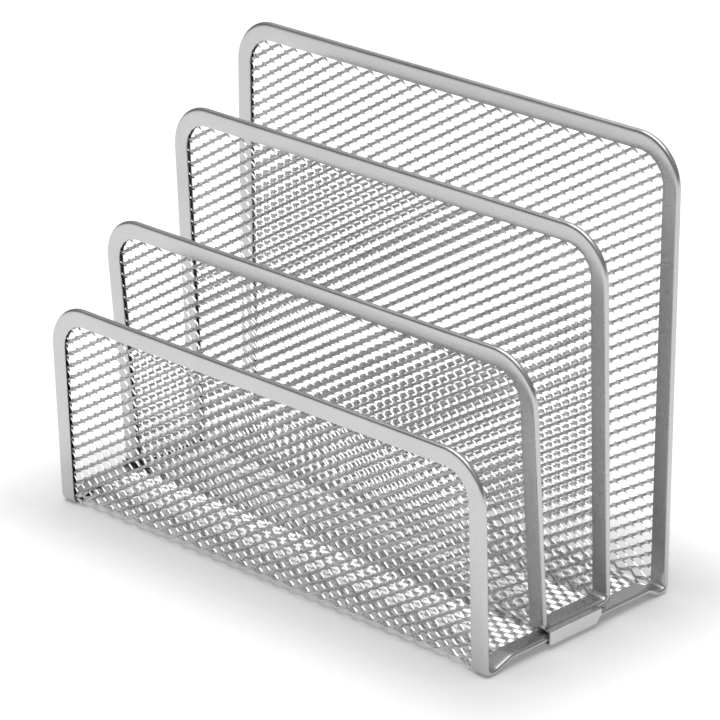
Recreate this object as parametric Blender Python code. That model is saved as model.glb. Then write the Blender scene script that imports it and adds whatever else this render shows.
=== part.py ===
"""Desktop file sorter: two expanded-metal sheets bent to a U, one nested in the other.

Units are metres, +Z is up, the front (lowest panel) faces -Y, and the origin is the bottom centre
of the bounding box. Each sheet is laid out flat first, as (u, s, n): u is across the width, s runs
along the bent profile from the top of its front panel to the top of its rear panel, and n is the
distance from the sheet's mid-plane. place() then bends the flat layout to its U profile.
"""
import math

import bmesh
import bpy
from mathutils import Vector

MM = 0.001

# overall sizes
OUTER_WIDTH = 175.0 * MM
INNER_WIDTH = 172.4 * MM
CORNER_RADIUS = 15.0 * MM

# top edge heights of the four panels, front to rear
TOP_1 = 67.1 * MM
TOP_2 = 89.8 * MM
TOP_3 = 118.7 * MM
TOP_4 = 139.1 * MM

# mid-plane position of each panel at its foot, and how far its top leans (rearward is positive)
FOOT_Y_1 = -37.45 * MM
FOOT_Y_2 = -11.55 * MM
FOOT_Y_3 = 15.85 * MM
FOOT_Y_4 = 40.55 * MM
LEAN_1 = math.radians(-2.7)
LEAN_2 = math.radians(-5.3)
LEAN_3 = math.radians(-3.1)
LEAN_4 = math.radians(-0.7)

# edging: a folded steel channel pressed over the border of each sheet
EDGE_WIDTH = 5.7 * MM
EDGE_THICK = 2.0 * MM
EDGE_WALL = 0.45 * MM
EDGE_NOSE = 0.75 * MM

# the sheet inside the channel
SHEET_THICK = 0.6 * MM
SHEET_INSET = 1.3 * MM

# floor of the outer sheet: raised between its two feet
FOOT_Z = 0.5 * EDGE_THICK
FLOOR_Z = 2.25 * MM + 0.5 * EDGE_THICK
FOOT_FLAT_FRONT = 3.7 * MM
FOOT_RAMP_FRONT = 6.6 * MM
FOOT_FLAT_REAR = 3.8 * MM
FOOT_RAMP_REAR = 4.2 * MM
BEND_OUTER = 1.9 * MM

# floor of the inner sheet: lies on the outer floor's edging
RIM_GAP = 0.3 * MM
INNER_FLOOR_Z = FLOOR_Z + EDGE_THICK + RIM_GAP
BEND_INNER = 2.5 * MM

# side clips that tie the inner floor to the outer floor
CLIP_WALL = 0.5 * MM
CLIP_GAP = 0.2 * MM
CLIP_FRONT = -12.2 * MM
CLIP_REAR = 10.0 * MM
CLIP_TOP = 6.1 * MM
CLIP_HOOK = 4.6 * MM
CLIP_CHAMFER_Y = 2.2 * MM
CLIP_CHAMFER_Z = 2.6 * MM

ARC_STEPS = 5
CORNER_STEPS = 10


def clear_scene():
    for obj in list(bpy.data.objects):
        bpy.data.objects.remove(obj, do_unlink=True)


def rounded_path(points, radii):
    """Polyline through points with each inner vertex rounded to its radius."""
    path = [Vector(points[0])]
    for i in range(1, len(points) - 1):
        corner = Vector(points[i])
        back = (Vector(points[i - 1]) - corner).normalized()
        ahead = (Vector(points[i + 1]) - corner).normalized()
        turn = math.pi - back.angle(ahead)
        reach = radii[i - 1] * math.tan(turn / 2)
        bisector = (back + ahead).normalized()
        centre = corner + bisector * (radii[i - 1] / math.cos(turn / 2))
        start = corner + back * reach - centre
        steps = max(2, int(math.ceil(turn / math.radians(90) * ARC_STEPS)))
        side = 1.0 if back.x * ahead.y - back.y * ahead.x < 0 else -1.0
        for k in range(steps + 1):
            a = side * turn * k / steps
            x = start.x * math.cos(a) - start.y * math.sin(a)
            y = start.x * math.sin(a) + start.y * math.cos(a)
            path.append(centre + Vector((x, y)))
    path.append(Vector(points[-1]))
    return path


class Profile:
    """Bent mid-line of a sheet, with stations s and mitred normals."""

    def __init__(self, path):
        self.path = path
        self.s = [0.0]
        for a, b in zip(path[:-1], path[1:]):
            self.s.append(self.s[-1] + (b - a).length)
        self.length = self.s[-1]
        normals = []
        for a, b in zip(path[:-1], path[1:]):
            d = (b - a).normalized()
            normals.append(Vector((-d.y, d.x)))
        self.mitre = [normals[0]]
        for a, b in zip(normals[:-1], normals[1:]):
            m = (a + b).normalized()
            self.mitre.append(m / m.dot(a))
        self.mitre.append(normals[-1])

    def place(self, u, s, n):
        i = 0
        while i < len(self.s) - 2 and s > self.s[i + 1]:
            i += 1
        t = (s - self.s[i]) / (self.s[i + 1] - self.s[i])
        p = self.path[i].lerp(self.path[i + 1], t)
        m = self.mitre[i].lerp(self.mitre[i + 1], t)
        return Vector((u, p.x + n * m.x, p.y + n * m.y))


def panel_top(foot_y, foot_z, lean, top_z):
    """Point at the top of a leaning panel that starts at foot_y, foot_z."""
    rise = top_z - foot_z
    return (foot_y + rise * math.tan(lean), top_z)


def outer_profile():
    ramp_front = FOOT_Y_1 + FOOT_FLAT_FRONT
    ramp_rear = FOOT_Y_4 - FOOT_FLAT_REAR
    points = [
        panel_top(FOOT_Y_1, FOOT_Z, LEAN_1, TOP_1),
        (FOOT_Y_1, FOOT_Z),
        (ramp_front, FOOT_Z),
        (ramp_front + FOOT_RAMP_FRONT, FLOOR_Z),
        (ramp_rear - FOOT_RAMP_REAR, FLOOR_Z),
        (ramp_rear, FOOT_Z),
        (FOOT_Y_4, FOOT_Z),
        panel_top(FOOT_Y_4, FOOT_Z, LEAN_4, TOP_4),
    ]
    radii = [BEND_OUTER, 3.0 * MM, 5.0 * MM, 3.5 * MM, 2.0 * MM, BEND_OUTER]
    return Profile(rounded_path(points, radii))


def inner_profile():
    points = [
        panel_top(FOOT_Y_2, INNER_FLOOR_Z, LEAN_2, TOP_2),
        (FOOT_Y_2, INNER_FLOOR_Z),
        (FOOT_Y_3, INNER_FLOOR_Z),
        panel_top(FOOT_Y_3, INNER_FLOOR_Z, LEAN_3, TOP_3),
    ]
    return Profile(rounded_path(points, [BEND_INNER, BEND_INNER]))


def border_stations(profile, width):
    """Closed loop round the flat sheet: (centre u, centre s, direction u, direction s)."""
    cu = width / 2 - CORNER_RADIUS
    low = CORNER_RADIUS
    high = profile.length - CORNER_RADIUS
    sides = [s for s in profile.s if low + 1e-6 < s < high - 1e-6]
    loop = []
    for s in sides:
        loop.append((cu, s, 1.0, 0.0))
    for side, start, centre in ((1, 0, high), (-1, 90, high)):
        for k in range(CORNER_STEPS + 1):
            a = math.radians(start + 90 * k / CORNER_STEPS)
            loop.append((side * cu, centre, math.cos(a), math.sin(a)))
    for s in reversed(sides):
        loop.append((-cu, s, -1.0, 0.0))
    for side, start, centre in ((-1, 180, low), (1, 270, low)):
        for k in range(CORNER_STEPS + 1):
            a = math.radians(start + 90 * k / CORNER_STEPS)
            loop.append((side * cu, centre, math.cos(a), math.sin(a)))
    return loop


def channel_section():
    """Folded channel, as (inset from the outer edge, offset from the mid-plane)."""
    half = EDGE_THICK / 2
    slot = half - EDGE_WALL
    section = [(EDGE_WIDTH, half)]
    steps = 6
    for k in range(steps + 1):
        a = math.radians(180 * k / steps)
        section.append((EDGE_NOSE - EDGE_NOSE * math.sin(a), half * math.cos(a)))
    section.append((EDGE_WIDTH, -half))
    section.append((EDGE_WIDTH, -slot))
    section.append((EDGE_WALL + 0.4 * MM, -slot))
    section.append((EDGE_WALL + 0.4 * MM, slot))
    section.append((EDGE_WIDTH, slot))
    return section


def principled(name, colour, roughness, metallic):
    mat = bpy.data.materials.new(name)
    mat.use_nodes = True
    shader = mat.node_tree.nodes["Principled BSDF"]
    shader.inputs["Base Color"].default_value = (*colour, 1.0)
    shader.inputs["Roughness"].default_value = roughness
    shader.inputs["Metallic"].default_value = metallic
    return mat


def add_object(name, bm, mat, smooth_angle=None):
    bmesh.ops.recalc_face_normals(bm, faces=bm.faces)
    mesh = bpy.data.meshes.new(name)
    bm.to_mesh(mesh)
    bm.free()
    obj = bpy.data.objects.new(name, mesh)
    bpy.context.scene.collection.objects.link(obj)
    mesh.materials.append(mat)
    if smooth_angle is not None:
        mesh.shade_smooth()
        mesh.set_sharp_from_angle(angle=math.radians(smooth_angle))
    return obj


def make_edging(name, profile, width, mat):
    loop = border_stations(profile, width)
    section = channel_section()
    bm = bmesh.new()
    rings = []
    for cu, cs, du, ds in loop:
        ring = []
        for inset, n in section:
            reach = CORNER_RADIUS - inset
            ring.append(bm.verts.new(profile.place(cu + du * reach, cs + ds * reach, n)))
        rings.append(ring)
    count = len(section)
    for i, ring in enumerate(rings):
        other = rings[(i + 1) % len(rings)]
        for j in range(count):
            k = (j + 1) % count
            bm.faces.new((ring[j], ring[k], other[k], other[j]))
    return add_object(name, bm, mat, 35)


def make_sheet(name, profile, width, mat):
    cu = width / 2 - CORNER_RADIUS
    reach = CORNER_RADIUS - SHEET_INSET
    low = CORNER_RADIUS
    high = profile.length - CORNER_RADIUS
    rows = []
    for k in range(CORNER_STEPS, -1, -1):
        a = math.radians(90 * k / CORNER_STEPS)
        rows.append((cu + reach * math.cos(a), low - reach * math.sin(a)))
    for s in profile.s:
        if low + 1e-6 < s < high - 1e-6:
            rows.append((cu + reach, s))
    for k in range(CORNER_STEPS + 1):
        a = math.radians(90 * k / CORNER_STEPS)
        rows.append((cu + reach * math.cos(a), high + reach * math.sin(a)))
    half = SHEET_THICK / 2
    bm = bmesh.new()
    rings = []
    for u, s in rows:
        corners = ((-u, half), (u, half), (u, -half), (-u, -half))
        rings.append([bm.verts.new(profile.place(x, s, n)) for x, n in corners])
    for a, b in zip(rings[:-1], rings[1:]):
        for j in range(4):
            k = (j + 1) % 4
            bm.faces.new((a[j], a[k], b[k], b[j]))
    bm.faces.new(rings[0])
    bm.faces.new(list(reversed(rings[-1])))
    return add_object(name, bm, mat, 35)


def make_clip(name, side, mat):
    """C-shaped plate: hooks under the outer floor's edging, its top lip meets the inner floor's edging."""
    inside = OUTER_WIDTH / 2 + CLIP_GAP
    outside = inside + CLIP_WALL
    hook_tip = inside - CLIP_HOOK
    lip_tip = INNER_WIDTH / 2 + CLIP_GAP
    top = CLIP_TOP
    top_in = top - CLIP_WALL
    bottom_in = FLOOR_Z - EDGE_THICK / 2 - CLIP_GAP
    bottom = bottom_in - CLIP_WALL
    ease = CLIP_WALL * 0.6
    section = [
        (lip_tip, top),
        (outside - ease, top),
        (outside - ease * 0.3, top - ease * 0.3),
        (outside, top - ease),
        (outside, bottom + ease),
        (outside - ease * 0.3, bottom + ease * 0.3),
        (outside - ease, bottom),
        (hook_tip, bottom),
        (hook_tip, bottom_in),
        (inside, bottom_in),
        (inside, top_in),
        (lip_tip, top_in),
    ]
    bm = bmesh.new()
    rings = []
    for y in (CLIP_FRONT, CLIP_REAR):
        rings.append([bm.verts.new((side * x, y, z)) for x, z in section])
    count = len(section)
    for j in range(count):
        k = (j + 1) % count
        bm.faces.new((rings[0][j], rings[0][k], rings[1][k], rings[1][j]))
    bm.faces.new(rings[0])
    bm.faces.new(list(reversed(rings[1])))
    corner = Vector((0.0, CLIP_REAR - CLIP_CHAMFER_Y, bottom))
    normal = Vector((0.0, CLIP_CHAMFER_Z, -CLIP_CHAMFER_Y)).normalized()
    geometry = bm.verts[:] + bm.edges[:] + bm.faces[:]
    bmesh.ops.bisect_plane(bm, geom=geometry, dist=1e-7, plane_co=corner, plane_no=normal, clear_outer=True)
    open_edges = [e for e in bm.edges if e.is_boundary]
    bmesh.ops.contextual_create(bm, geom=open_edges)
    return add_object(name, bm, mat, 35)


clear_scene()

SILVER = (0.62, 0.62, 0.63)
outer = outer_profile()
inner = inner_profile()

make_sheet("outer_mesh", outer, OUTER_WIDTH, principled("outer_mesh_silver", (0.60, 0.60, 0.61), 0.40, 0.9))
make_edging("outer_edging", outer, OUTER_WIDTH, principled("outer_edging_silver", SILVER, 0.32, 0.9))
make_sheet("inner_mesh", inner, INNER_WIDTH, principled("inner_mesh_silver", (0.60, 0.60, 0.61), 0.40, 0.9))
make_edging("inner_edging", inner, INNER_WIDTH, principled("inner_edging_silver", SILVER, 0.32, 0.9))
make_clip("left_clip", -1, principled("left_clip_silver", SILVER, 0.30, 0.9))
make_clip("right_clip", 1, principled("right_clip_silver", SILVER, 0.30, 0.9))
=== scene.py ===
"""Looks for the desktop file sorter: real expanded-metal mesh, satin silver lacquer and a plain studio.

Each sheet of mesh is laid out flat as (u, s, n), in metres: u across the width, s along the bent
profile from the top of its front panel to the top of its rear panel, n off the mid-plane towards the
inside of the U. bend() takes the flat layout to its place on the CAD profile.
"""
import math

import bmesh
import bpy
import numpy as np
from mathutils import Matrix, Vector


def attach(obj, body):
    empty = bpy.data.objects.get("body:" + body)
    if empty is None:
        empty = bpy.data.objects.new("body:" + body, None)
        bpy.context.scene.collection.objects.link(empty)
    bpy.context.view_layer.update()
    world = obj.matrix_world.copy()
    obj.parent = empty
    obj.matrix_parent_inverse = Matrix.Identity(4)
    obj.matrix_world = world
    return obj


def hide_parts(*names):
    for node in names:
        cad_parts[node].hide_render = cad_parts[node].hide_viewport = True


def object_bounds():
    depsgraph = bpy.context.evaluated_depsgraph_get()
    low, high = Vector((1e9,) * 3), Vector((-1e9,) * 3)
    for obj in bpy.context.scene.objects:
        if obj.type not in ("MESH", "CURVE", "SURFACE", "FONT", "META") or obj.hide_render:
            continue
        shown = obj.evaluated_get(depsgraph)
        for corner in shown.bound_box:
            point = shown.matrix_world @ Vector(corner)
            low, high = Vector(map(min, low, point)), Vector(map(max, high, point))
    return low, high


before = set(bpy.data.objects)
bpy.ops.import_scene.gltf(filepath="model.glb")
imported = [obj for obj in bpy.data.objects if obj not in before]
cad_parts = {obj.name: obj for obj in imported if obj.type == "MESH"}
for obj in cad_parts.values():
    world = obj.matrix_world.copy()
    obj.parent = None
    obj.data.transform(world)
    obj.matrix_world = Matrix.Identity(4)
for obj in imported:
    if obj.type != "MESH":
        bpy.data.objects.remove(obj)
cad_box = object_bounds()

MM = 0.001

# the CAD model's driving dimensions
OUTER_WIDTH = 175.0 * MM
INNER_WIDTH = 172.4 * MM
CORNER_RADIUS = 15.0 * MM
TOPS = (67.1 * MM, 89.8 * MM, 118.7 * MM, 139.1 * MM)
FOOT_Y = (-37.45 * MM, -11.55 * MM, 15.85 * MM, 40.55 * MM)
LEANS = (math.radians(-2.7), math.radians(-5.3), math.radians(-3.1), math.radians(-0.7))
FOOT_Z = 1.0 * MM
FLOOR_Z = 3.25 * MM
INNER_FLOOR_Z = 5.55 * MM
FOOT_FLAT_FRONT = 3.7 * MM
FOOT_RAMP_FRONT = 6.6 * MM
FOOT_FLAT_REAR = 3.8 * MM
FOOT_RAMP_REAR = 4.2 * MM
BEND_OUTER = 1.9 * MM
BEND_INNER = 2.5 * MM
# bends of the outer floor: foot and top of the front ramp, top and foot of the rear ramp
RAMP_BENDS = [3.0 * MM, 5.0 * MM, 3.5 * MM, 2.0 * MM]
ARC_STEPS = 8

# expanded metal: pitch of the bonds, section of a strand and how it leans out of the sheet
LONG_WAY = 6.37 * MM
SHORT_WAY = 3.90 * MM
STRAND_WIDTH = 0.92 * MM
STRAND_THICK = 0.44 * MM
STRAND_TILT = math.radians(52)
STRAND_OVERLAP = 1.03
BOND_LENGTH = 0.85 * MM
MESH_INSET = 2.6 * MM
MESH_END = 0.4 * MM

# between its edgings the outer mesh rides a little above the two foot bends
FOOT_LIFT = 1.3 * MM
LIFT_START = 6.0 * MM
LIFT_END = 14.0 * MM
LIFT_UP_PANEL = 10.0 * MM
LIFT_ALONG_FLOOR = 9.0 * MM

# the mesh is pressed flatter where the edging holds it
CRIMP = 0.65
CRIMP_START = 4.0 * MM
CRIMP_EASE = 3.0 * MM

# folded edging, in mm: (distance in from the edge, height off the mid-plane) from the lip to the nose
EDGE_FACE = (
    (5.64, 0.56),
    (5.70, 0.74),
    (5.60, 0.88),
    (5.35, 0.93),
    (4.20, 0.97),
    (2.60, 1.00),
    (1.40, 0.98),
    (0.85, 0.92),
    (0.48, 0.79),
    (0.20, 0.58),
    (0.05, 0.30),
)
EDGE_BACK = 0.50
EDGE_CHANNEL = 0.55
CORNER_STEPS = 18
CORNER_CLEAR = 1.0 * MM
SHARP_ANGLE = math.radians(38)

# small puckers in the strip's lip round each corner
PUCKERS = 5
PUCKER_DEPTH = 0.22 * MM
PUCKER_RISE = 0.10
PUCKER_START = 3.4 * MM
PUCKER_EASE = 2.2 * MM

# lacquer: noise scales per metre, share of flake in the tone, spread of tone and roughness
CLOUD_SCALE = 70.0
FLAKE_SCALE = 1500.0
FLAKE_SHARE = 0.35
NOISE_LOW = 0.3
NOISE_HIGH = 0.7
TONE_LOW = 0.93
TONE_HIGH = 1.06
BLUE_LOW = 1.01
BLUE_HIGH = 1.005
ROUGH_LESS = 0.04
ROUGH_MORE = 0.05
PEEL_STRENGTH = 0.10
PEEL_HEIGHT = 0.05 * MM

# camera
CAMERA_PLACE = (0.70285, -0.73855, 0.46890)
CAMERA_YAW = -43.50
CAMERA_PITCH = 21.85
CAMERA_ROLL = -0.44
CAMERA_LENS = 187.5
CAMERA_SENSOR = 36.0
CAMERA_NEAR = 0.05
CAMERA_FAR = 20.0

# square area lights aimed at the origin: name, place, side in metres, power in watts
LIGHTS = (
    ("overhead", (0.0, -0.25, 1.3), 1.3, 9.0),
    ("back", (-0.75, 1.15, 0.70), 0.9, 1.8),
)

# studio walls by direction, as (its upward component, brightness): dark low down, bright overhead
WALL_STOPS = ((0.0, 0.12), (0.35, 0.18), (0.70, 0.42), (0.95, 0.85))

FLOOR_REACH = 4.0
FLOOR_TONE = 0.82
FLOOR_ROUGH = 0.9
FLOOR_SHINE = 0.1

# the floor glows a little, as painted light: less under and beside the object, which leaves a painted
# shade round its footprint, and more further off, so that there it stays an even white
GLOW_START = 0.0
GLOW_END = 0.05
GLOW_UNDER = 0.14
GLOW = 0.44


def rounded_path(points, radii):
    """Polyline (y, z) through points with each inner vertex rounded to its radius."""
    path = [np.array(points[0])]
    for i in range(1, len(points) - 1):
        corner = np.array(points[i])
        back = np.array(points[i - 1]) - corner
        ahead = np.array(points[i + 1]) - corner
        back = back / np.linalg.norm(back)
        ahead = ahead / np.linalg.norm(ahead)
        turn = math.pi - math.acos(float(np.dot(back, ahead)))
        bisector = (back + ahead) / np.linalg.norm(back + ahead)
        centre = corner + bisector * radii[i - 1] / math.cos(turn / 2)
        start = corner + back * radii[i - 1] * math.tan(turn / 2) - centre
        side = 1.0 if back[0] * ahead[1] - back[1] * ahead[0] < 0 else -1.0
        for k in range(ARC_STEPS + 1):
            a = side * turn * k / ARC_STEPS
            x = start[0] * math.cos(a) - start[1] * math.sin(a)
            y = start[0] * math.sin(a) + start[1] * math.cos(a)
            path.append(centre + np.array((x, y)))
    path.append(np.array(points[-1]))
    return np.array(path)


def panel_top(panel, foot_z):
    """Place (y, z) of a panel's upper end, leaning from its foot."""
    rise = TOPS[panel] - foot_z
    return (FOOT_Y[panel] + rise * math.tan(LEANS[panel]), TOPS[panel])


def outer_path():
    """Front panel, floor raised between its two feet, rear panel."""
    ramp_front = FOOT_Y[0] + FOOT_FLAT_FRONT
    ramp_rear = FOOT_Y[3] - FOOT_FLAT_REAR
    points = [
        panel_top(0, FOOT_Z),
        (FOOT_Y[0], FOOT_Z),
        (ramp_front, FOOT_Z),
        (ramp_front + FOOT_RAMP_FRONT, FLOOR_Z),
        (ramp_rear - FOOT_RAMP_REAR, FLOOR_Z),
        (ramp_rear, FOOT_Z),
        (FOOT_Y[3], FOOT_Z),
        panel_top(3, FOOT_Z),
    ]
    return rounded_path(points, [BEND_OUTER] + RAMP_BENDS + [BEND_OUTER])


def inner_path():
    """Second panel, inner floor, third panel."""
    points = [
        panel_top(1, INNER_FLOOR_Z),
        (FOOT_Y[1], INNER_FLOOR_Z),
        (FOOT_Y[2], INNER_FLOOR_Z),
        panel_top(2, INNER_FLOOR_Z),
    ]
    return rounded_path(points, [BEND_INNER, BEND_INNER])


class Profile:
    """Bent mid-line of a sheet; away from its edging the mesh rides foot_lift above the feet."""

    def __init__(self, path, foot_lift=0.0):
        self.path = path
        self.foot_lift = foot_lift
        step = np.linalg.norm(np.diff(path, axis=0), axis=1)
        self.s = np.concatenate(([0.0], np.cumsum(step)))
        self.length = float(self.s[-1])
        direction = np.diff(path, axis=0) / step[:, None]
        normal = np.stack((-direction[:, 1], direction[:, 0]), axis=1)
        mitre = normal[:-1] + normal[1:]
        mitre /= np.linalg.norm(mitre, axis=1)[:, None]
        mitre /= np.sum(mitre * normal[:-1], axis=1)[:, None]
        self.mitre = np.concatenate((normal[:1], mitre, normal[-1:]))

    def bend(self, u, s, n, lift):
        """Flat coordinates to world points; lift is 0 on the edging and 1 well inside it."""
        foot_front = TOPS[0] - FOOT_Z
        foot_rear = self.length - (TOPS[3] - FOOT_Z)
        from_front = np.maximum((foot_front - s) / LIFT_UP_PANEL, (s - foot_front) / LIFT_ALONG_FLOOR)
        from_rear = np.maximum((s - foot_rear) / LIFT_UP_PANEL, (foot_rear - s) / LIFT_ALONG_FLOOR)
        rise = self.foot_lift * lift * smooth_step(1 - np.minimum(from_front, from_rear))
        i = np.clip(np.searchsorted(self.s, s, side="right") - 1, 0, len(self.s) - 2)
        t = ((s - self.s[i]) / (self.s[i + 1] - self.s[i]))[:, None]
        place = self.path[i] * (1 - t) + self.path[i + 1] * t
        mitre = self.mitre[i] * (1 - t) + self.mitre[i + 1] * t
        place = place + mitre * n[:, None]
        return np.column_stack((u, place[:, 0], np.maximum(place[:, 1] + rise, 0.0)))


def smooth_step(x):
    x = np.clip(x, 0.0, 1.0)
    return x * x * (3 - 2 * x)


def half_width_at(s, profile, width, inset):
    """Half the width of the rounded sheet, drawn in by inset, at height s along it."""
    past = max(CORNER_RADIUS - s, s - (profile.length - CORNER_RADIUS), 0.0)
    reach = CORNER_RADIUS - inset
    if past >= reach:
        return 0.0
    return width / 2 - CORNER_RADIUS + math.sqrt(reach * reach - past * past)


def strand_line(row, limit):
    """Centre line of one zigzag strand: u, and its offsets along s and n."""
    half = LONG_WAY / 2
    count = int(math.ceil(limit / half)) + 1
    us = []
    ss = []
    ns = []
    rise = SHORT_WAY / 4 - STRAND_WIDTH / 2 * math.sin(STRAND_TILT)
    depth = STRAND_WIDTH / 2 * math.cos(STRAND_TILT)
    for i in range(-count, count + 1):
        up = 1.0 if (i + row) % 2 == 0 else -1.0
        for end in (-0.5, 0.5):
            us.append(i * half + end * BOND_LENGTH)
            ss.append(up * rise)
            ns.append(-up * depth)
    us = np.array(us)
    keep = np.abs(us) < limit
    ends = np.array((-limit, limit))
    u = np.sort(np.concatenate((us[keep], ends)))
    return u, np.interp(u, us, ss), np.interp(u, us, ns)


def expanded_mesh(name, profile, width):
    """All zigzag strands of a sheet as one object; neighbours meet at their bonds."""
    sin_t = math.sin(STRAND_TILT)
    cos_t = math.cos(STRAND_TILT)
    half_w = STRAND_WIDTH / 2 * STRAND_OVERLAP
    half_t = STRAND_THICK / 2
    section = [
        (half_w * sin_t + half_t * cos_t, half_w * cos_t - half_t * sin_t),
        (half_w * sin_t - half_t * cos_t, half_w * cos_t + half_t * sin_t),
        (-half_w * sin_t - half_t * cos_t, -half_w * cos_t + half_t * sin_t),
        (-half_w * sin_t + half_t * cos_t, -half_w * cos_t - half_t * sin_t),
    ]
    points = []
    faces = []
    start = 0
    rows = int(profile.length / (SHORT_WAY / 2))
    first = (profile.length - (rows - 1) * SHORT_WAY / 2) / 2
    for row in range(rows):
        s0 = first + row * SHORT_WAY / 2
        limit = half_width_at(s0, profile, width, MESH_INSET)
        if limit < LONG_WAY:
            continue
        u, ds, dn = strand_line(row, limit)
        from_side = width / 2 - np.abs(u)
        lift = smooth_step((from_side - LIFT_START) / (LIFT_END - LIFT_START))
        from_end = min(s0, profile.length - s0)
        release = smooth_step((np.minimum(from_side, from_end) - CRIMP_START) / CRIMP_EASE)
        crimp = CRIMP + (1 - CRIMP) * release
        ring = []
        for a, b in section:
            s = np.clip(s0 + ds + a, MESH_END, profile.length - MESH_END)
            ring.append(profile.bend(u, s, (dn + b) * crimp, lift))
        grid = np.stack(ring, axis=1)
        count = len(u)
        points.append(grid.reshape(-1, 3))
        base = start + 4 * np.arange(count - 1)
        for j in range(4):
            k = (j + 1) % 4
            faces.append(np.column_stack((base + j, base + k, base + k + 4, base + j + 4)))
        faces.append(np.array([[start + 3, start + 2, start + 1, start]]))
        last = start + 4 * (count - 1)
        faces.append(np.array([[last, last + 1, last + 2, last + 3]]))
        start += 4 * count
    points = np.concatenate(points)
    faces = np.concatenate(faces)
    return add_mesh(name, points.tolist(), faces.tolist(), smooth=False)


def edging_outline(profile, width):
    """Stations round the sheet: edge point (u, s), inward direction and how far into a corner fold."""
    r = CORNER_RADIUS
    clear = r + CORNER_CLEAR
    side = profile.s[(profile.s > clear) & (profile.s < profile.length - clear)]
    stations = []
    corners = (
        (width / 2 - r, r, -90.0),
        (width / 2 - r, profile.length - r, 0.0),
        (-width / 2 + r, profile.length - r, 90.0),
        (-width / 2 + r, r, 180.0),
    )
    for i, (cu, cs, first) in enumerate(corners):
        for k in range(CORNER_STEPS + 1):
            a = math.radians(first + 90.0 * k / CORNER_STEPS)
            out_u = math.cos(a)
            out_s = math.sin(a)
            along = math.pi * k / CORNER_STEPS
            fold = math.sin(along) * math.sin(PUCKERS * along) ** 2
            stations.append((cu + r * out_u, cs + r * out_s, -out_u, -out_s, fold))
        if i == 0:
            stations += [(width / 2, s, -1.0, 0.0, 0.0) for s in side]
        if i == 2:
            stations += [(-width / 2, s, 1.0, 0.0, 0.0) for s in side[::-1]]
    return np.array(stations)


def edging_section():
    """Closed section of the folded strip: outside faces, nose, then back up the inside."""
    face = list(EDGE_FACE)
    mirror = [(a, -b) for a, b in reversed(face)]
    inside = [(EDGE_BACK, -EDGE_CHANNEL), (EDGE_BACK, EDGE_CHANNEL)]
    return np.array(face + [(0.0, 0.0)] + mirror + inside) * MM


def folded_edging(name, profile, width):
    """The folded strip as one closed tube of sections round the sheet's border."""
    stations = edging_outline(profile, width)
    section = edging_section()
    rings = len(stations)
    sides = len(section)
    edge = stations[:, None, :]
    lip = np.clip((section[:, 0] - PUCKER_START) / PUCKER_EASE, 0.0, 1.0)[None, :]
    a = section[None, :, 0] - PUCKER_DEPTH * lip * edge[:, :, 4]
    b = section[None, :, 1] * (1 - PUCKER_RISE * lip * edge[:, :, 4])
    u = (edge[:, :, 0] + edge[:, :, 2] * a).ravel()
    s = (edge[:, :, 1] + edge[:, :, 3] * a).ravel()
    points = profile.bend(u, np.clip(s, 0.0, profile.length), b.ravel(), np.zeros(u.size))
    faces = []
    for i in range(rings):
        here = i * sides
        there = ((i + 1) % rings) * sides
        for j in range(sides):
            k = (j + 1) % sides
            faces.append((here + j, here + k, there + k, there + j))
    return add_mesh(name, points.tolist(), faces, smooth=True)


def add_mesh(name, points, faces, smooth):
    """New object with its faces turned outwards."""
    mesh = bpy.data.meshes.new(name)
    mesh.from_pydata(points, [], faces)
    work = bmesh.new()
    work.from_mesh(mesh)
    bmesh.ops.recalc_face_normals(work, faces=work.faces)
    work.to_mesh(mesh)
    work.free()
    if smooth:
        mesh.shade_smooth()
        mesh.set_sharp_from_angle(angle=SHARP_ANGLE)
    obj = bpy.data.objects.new(name, mesh)
    bpy.context.scene.collection.objects.link(obj)
    return obj


class Nodes:
    """Small helper for building a node tree."""

    def __init__(self, tree):
        self.tree = tree

    def add(self, kind, **values):
        node = self.tree.nodes.new(kind)
        for key, value in values.items():
            if hasattr(node, key):
                setattr(node, key, value)
            else:
                node.inputs[key].default_value = value
        return node

    def link(self, a, b):
        self.tree.links.new(a, b)


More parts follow.
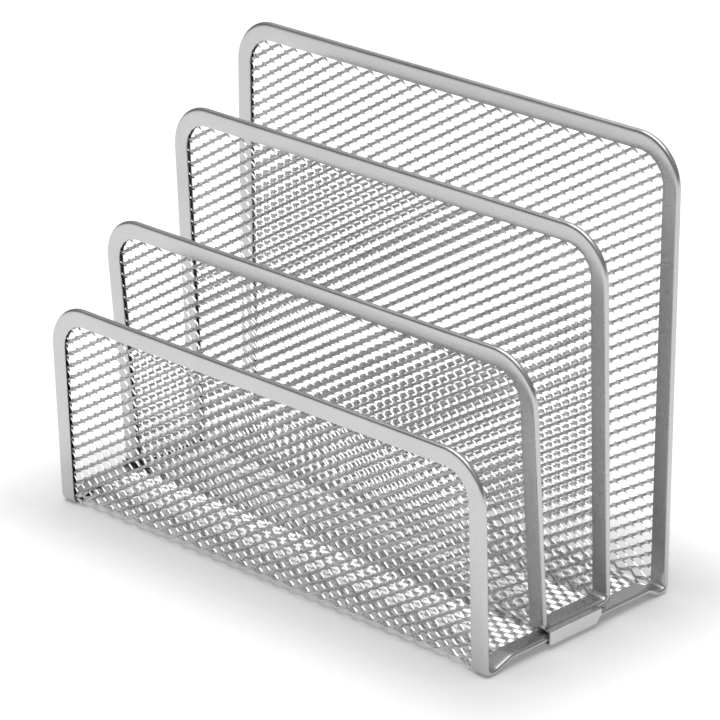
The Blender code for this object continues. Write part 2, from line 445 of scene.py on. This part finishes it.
def lacquer(name, tone, rough, metallic, grain):
    """Satin silver lacquer over steel: fine metallic flake, faint cloudiness and orange peel."""
    mat = bpy.data.materials.new(name)
    mat.use_nodes = True
    tree = mat.node_tree
    shader = tree.nodes["Principled BSDF"]
    shader.inputs["Metallic"].default_value = metallic
    n = Nodes(tree)
    place = n.add("ShaderNodeTexCoord")
    cloud = n.add("ShaderNodeTexNoise", Scale=CLOUD_SCALE, Detail=3.0)
    flake = n.add("ShaderNodeTexNoise", Scale=FLAKE_SCALE, Detail=2.0)
    n.link(place.outputs["Object"], cloud.inputs["Vector"])
    n.link(place.outputs["Object"], flake.inputs["Vector"])
    mix = n.add("ShaderNodeMix", data_type="FLOAT")
    mix.inputs[0].default_value = FLAKE_SHARE
    n.link(cloud.outputs["Fac"], mix.inputs[2])
    n.link(flake.outputs["Fac"], mix.inputs[3])
    colour = n.add("ShaderNodeValToRGB")
    dark, light = colour.color_ramp.elements
    low = tone * TONE_LOW
    high = min(tone * TONE_HIGH, 1.0)
    dark.position = NOISE_LOW
    light.position = NOISE_HIGH
    dark.color = (low, low, low * BLUE_LOW, 1)
    light.color = (high, high, high * BLUE_HIGH, 1)
    n.link(mix.outputs[0], colour.inputs["Fac"])
    n.link(colour.outputs["Color"], shader.inputs["Base Color"])
    spread = n.add("ShaderNodeMapRange")
    spread.inputs["From Min"].default_value = NOISE_LOW
    spread.inputs["From Max"].default_value = NOISE_HIGH
    spread.inputs["To Min"].default_value = rough - ROUGH_LESS
    spread.inputs["To Max"].default_value = rough + ROUGH_MORE
    n.link(cloud.outputs["Fac"], spread.inputs["Value"])
    n.link(spread.outputs["Result"], shader.inputs["Roughness"])
    peel = n.add("ShaderNodeTexNoise", Scale=grain, Detail=2.0)
    n.link(place.outputs["Object"], peel.inputs["Vector"])
    bump = n.add("ShaderNodeBump", Strength=PEEL_STRENGTH, Distance=PEEL_HEIGHT)
    n.link(peel.outputs["Fac"], bump.inputs["Height"])
    n.link(bump.outputs["Normal"], shader.inputs["Normal"])
    return mat


def set_material(obj, mat):
    obj.data.materials.clear()
    obj.data.materials.append(mat)


def add_camera():
    """Camera turned from +Y by yaw about Z, then down by pitch, then rolled about its own axis."""
    yaw, pitch, roll = (math.radians(a) for a in (CAMERA_YAW, CAMERA_PITCH, CAMERA_ROLL))
    ahead = Vector((math.sin(yaw) * math.cos(pitch), math.cos(yaw) * math.cos(pitch), -math.sin(pitch)))
    right = Vector((math.cos(yaw), -math.sin(yaw), 0.0))
    down = ahead.cross(right)
    right, down = (
        right * math.cos(roll) + down * math.sin(roll),
        down * math.cos(roll) - right * math.sin(roll),
    )
    data = bpy.data.cameras.new("camera")
    data.lens = CAMERA_LENS
    data.sensor_width = CAMERA_SENSOR
    data.clip_start = CAMERA_NEAR
    data.clip_end = CAMERA_FAR
    cam = bpy.data.objects.new("camera", data)
    turn = Matrix((right, -down, -ahead)).transposed()
    cam.matrix_world = Matrix.Translation(CAMERA_PLACE) @ turn.to_4x4()
    bpy.context.scene.collection.objects.link(cam)
    bpy.context.scene.camera = cam


def add_floor(box):
    """White floor whose glow, a painted light, grows with the distance from the box's footprint,
    leaving painted shade under and around it.
    """
    mesh = bpy.data.meshes.new("floor")
    r = FLOOR_REACH
    mesh.from_pydata([(-r, -r, 0), (r, -r, 0), (r, r, 0), (-r, r, 0)], [], [(0, 1, 2, 3)])
    floor = bpy.data.objects.new("floor", mesh)
    bpy.context.scene.collection.objects.link(floor)
    mat = bpy.data.materials.new("floor_white_painted_glow")
    mat.use_nodes = True
    shader = mat.node_tree.nodes["Principled BSDF"]
    shader.inputs["Base Color"].default_value = (FLOOR_TONE, FLOOR_TONE, FLOOR_TONE, 1)
    shader.inputs["Roughness"].default_value = FLOOR_ROUGH
    shader.inputs["Specular IOR Level"].default_value = FLOOR_SHINE
    shader.inputs["Emission Color"].default_value = (1, 1, 1, 1)
    n = Nodes(mat.node_tree)
    place = n.add("ShaderNodeTexCoord")
    folded = n.add("ShaderNodeVectorMath", operation="ABSOLUTE")
    past = n.add("ShaderNodeVectorMath", operation="SUBTRACT")
    outside = n.add("ShaderNodeVectorMath", operation="MAXIMUM")
    reach = n.add("ShaderNodeVectorMath", operation="LENGTH")
    past.inputs[1].default_value = (box[1][0], box[1][1], 0.0)
    outside.inputs[1].default_value = (0.0, 0.0, 0.0)
    n.link(place.outputs["Object"], folded.inputs[0])
    n.link(folded.outputs[0], past.inputs[0])
    n.link(past.outputs[0], outside.inputs[0])
    n.link(outside.outputs[0], reach.inputs[0])
    # painted light: emission rises from GLOW_UNDER under the footprint to GLOW away from it, a painted
    # shade round the object
    glow = n.add("ShaderNodeMapRange", interpolation_type="SMOOTHSTEP")
    glow.inputs["From Min"].default_value = GLOW_START
    glow.inputs["From Max"].default_value = GLOW_END
    glow.inputs["To Min"].default_value = GLOW_UNDER
    glow.inputs["To Max"].default_value = GLOW
    n.link(reach.outputs["Value"], glow.inputs["Value"])
    n.link(glow.outputs["Result"], shader.inputs["Emission Strength"])
    mesh.materials.append(mat)


def add_light(name, place, size, power):
    data = bpy.data.lights.new(name, "AREA")
    data.shape = "SQUARE"
    data.size = size
    data.energy = power
    light = bpy.data.objects.new(name, data)
    light.location = place
    light.rotation_euler = (-Vector(place)).to_track_quat("-Z", "Y").to_euler()
    bpy.context.scene.collection.objects.link(light)


def add_world():
    """Studio walls that light the object; the camera itself sees plain white behind the floor."""
    world = bpy.data.worlds.new("studio")
    bpy.context.scene.world = world
    world.use_nodes = True
    n = Nodes(world.node_tree)
    background = world.node_tree.nodes["Background"]
    place = n.add("ShaderNodeTexCoord")
    split = n.add("ShaderNodeSeparateXYZ")
    n.link(place.outputs["Generated"], split.inputs["Vector"])
    ramp = n.add("ShaderNodeValToRGB")
    elements = ramp.color_ramp.elements
    while len(elements) < len(WALL_STOPS):
        elements.new(0.5)
    for element, (position, value) in zip(elements, WALL_STOPS):
        element.position = position
        element.color = (value, value, value, 1)
    n.link(split.outputs["Z"], ramp.inputs["Fac"])
    seen = n.add("ShaderNodeLightPath")
    pale = n.add("ShaderNodeMix", data_type="RGBA")
    pale.inputs[7].default_value = (1, 1, 1, 1)
    n.link(seen.outputs["Is Camera Ray"], pale.inputs[0])
    n.link(ramp.outputs["Color"], pale.inputs[6])
    n.link(pale.outputs[2], background.inputs["Color"])
    background.inputs["Strength"].default_value = 1.0


add_camera()
add_floor(cad_box)
add_world()
for name, place, size, power in LIGHTS:
    add_light(name, place, size, power)
bpy.context.scene.view_settings.view_transform = "Standard"

outer = Profile(outer_path(), FOOT_LIFT)
inner = Profile(inner_path())

strand_silver = lacquer("strand_silver", 0.77, 0.26, 0.96, 900.0)
edging_silver = lacquer("edging_silver", 0.56, 0.27, 0.92, 500.0)
clip_silver = lacquer("clip_silver", 0.74, 0.25, 0.92, 500.0)

for name, node, profile, width in (
    ("outer_expanded_mesh", "outer_mesh", outer, OUTER_WIDTH),
    ("inner_expanded_mesh", "inner_mesh", inner, INNER_WIDTH),
):
    piece = expanded_mesh(name, profile, width)
    set_material(piece, strand_silver)
    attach(piece, "root")
    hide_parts(node)

for name, node, profile, width in (
    ("outer_folded_edging", "outer_edging", outer, OUTER_WIDTH),
    ("inner_folded_edging", "inner_edging", inner, INNER_WIDTH),
):
    piece = folded_edging(name, profile, width)
    set_material(piece, edging_silver)
    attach(piece, "root")
    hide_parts(node)

for node in ("left_clip", "right_clip"):
    set_material(bpy.data.objects[node], clip_silver)

bpy.context.view_layer.update()
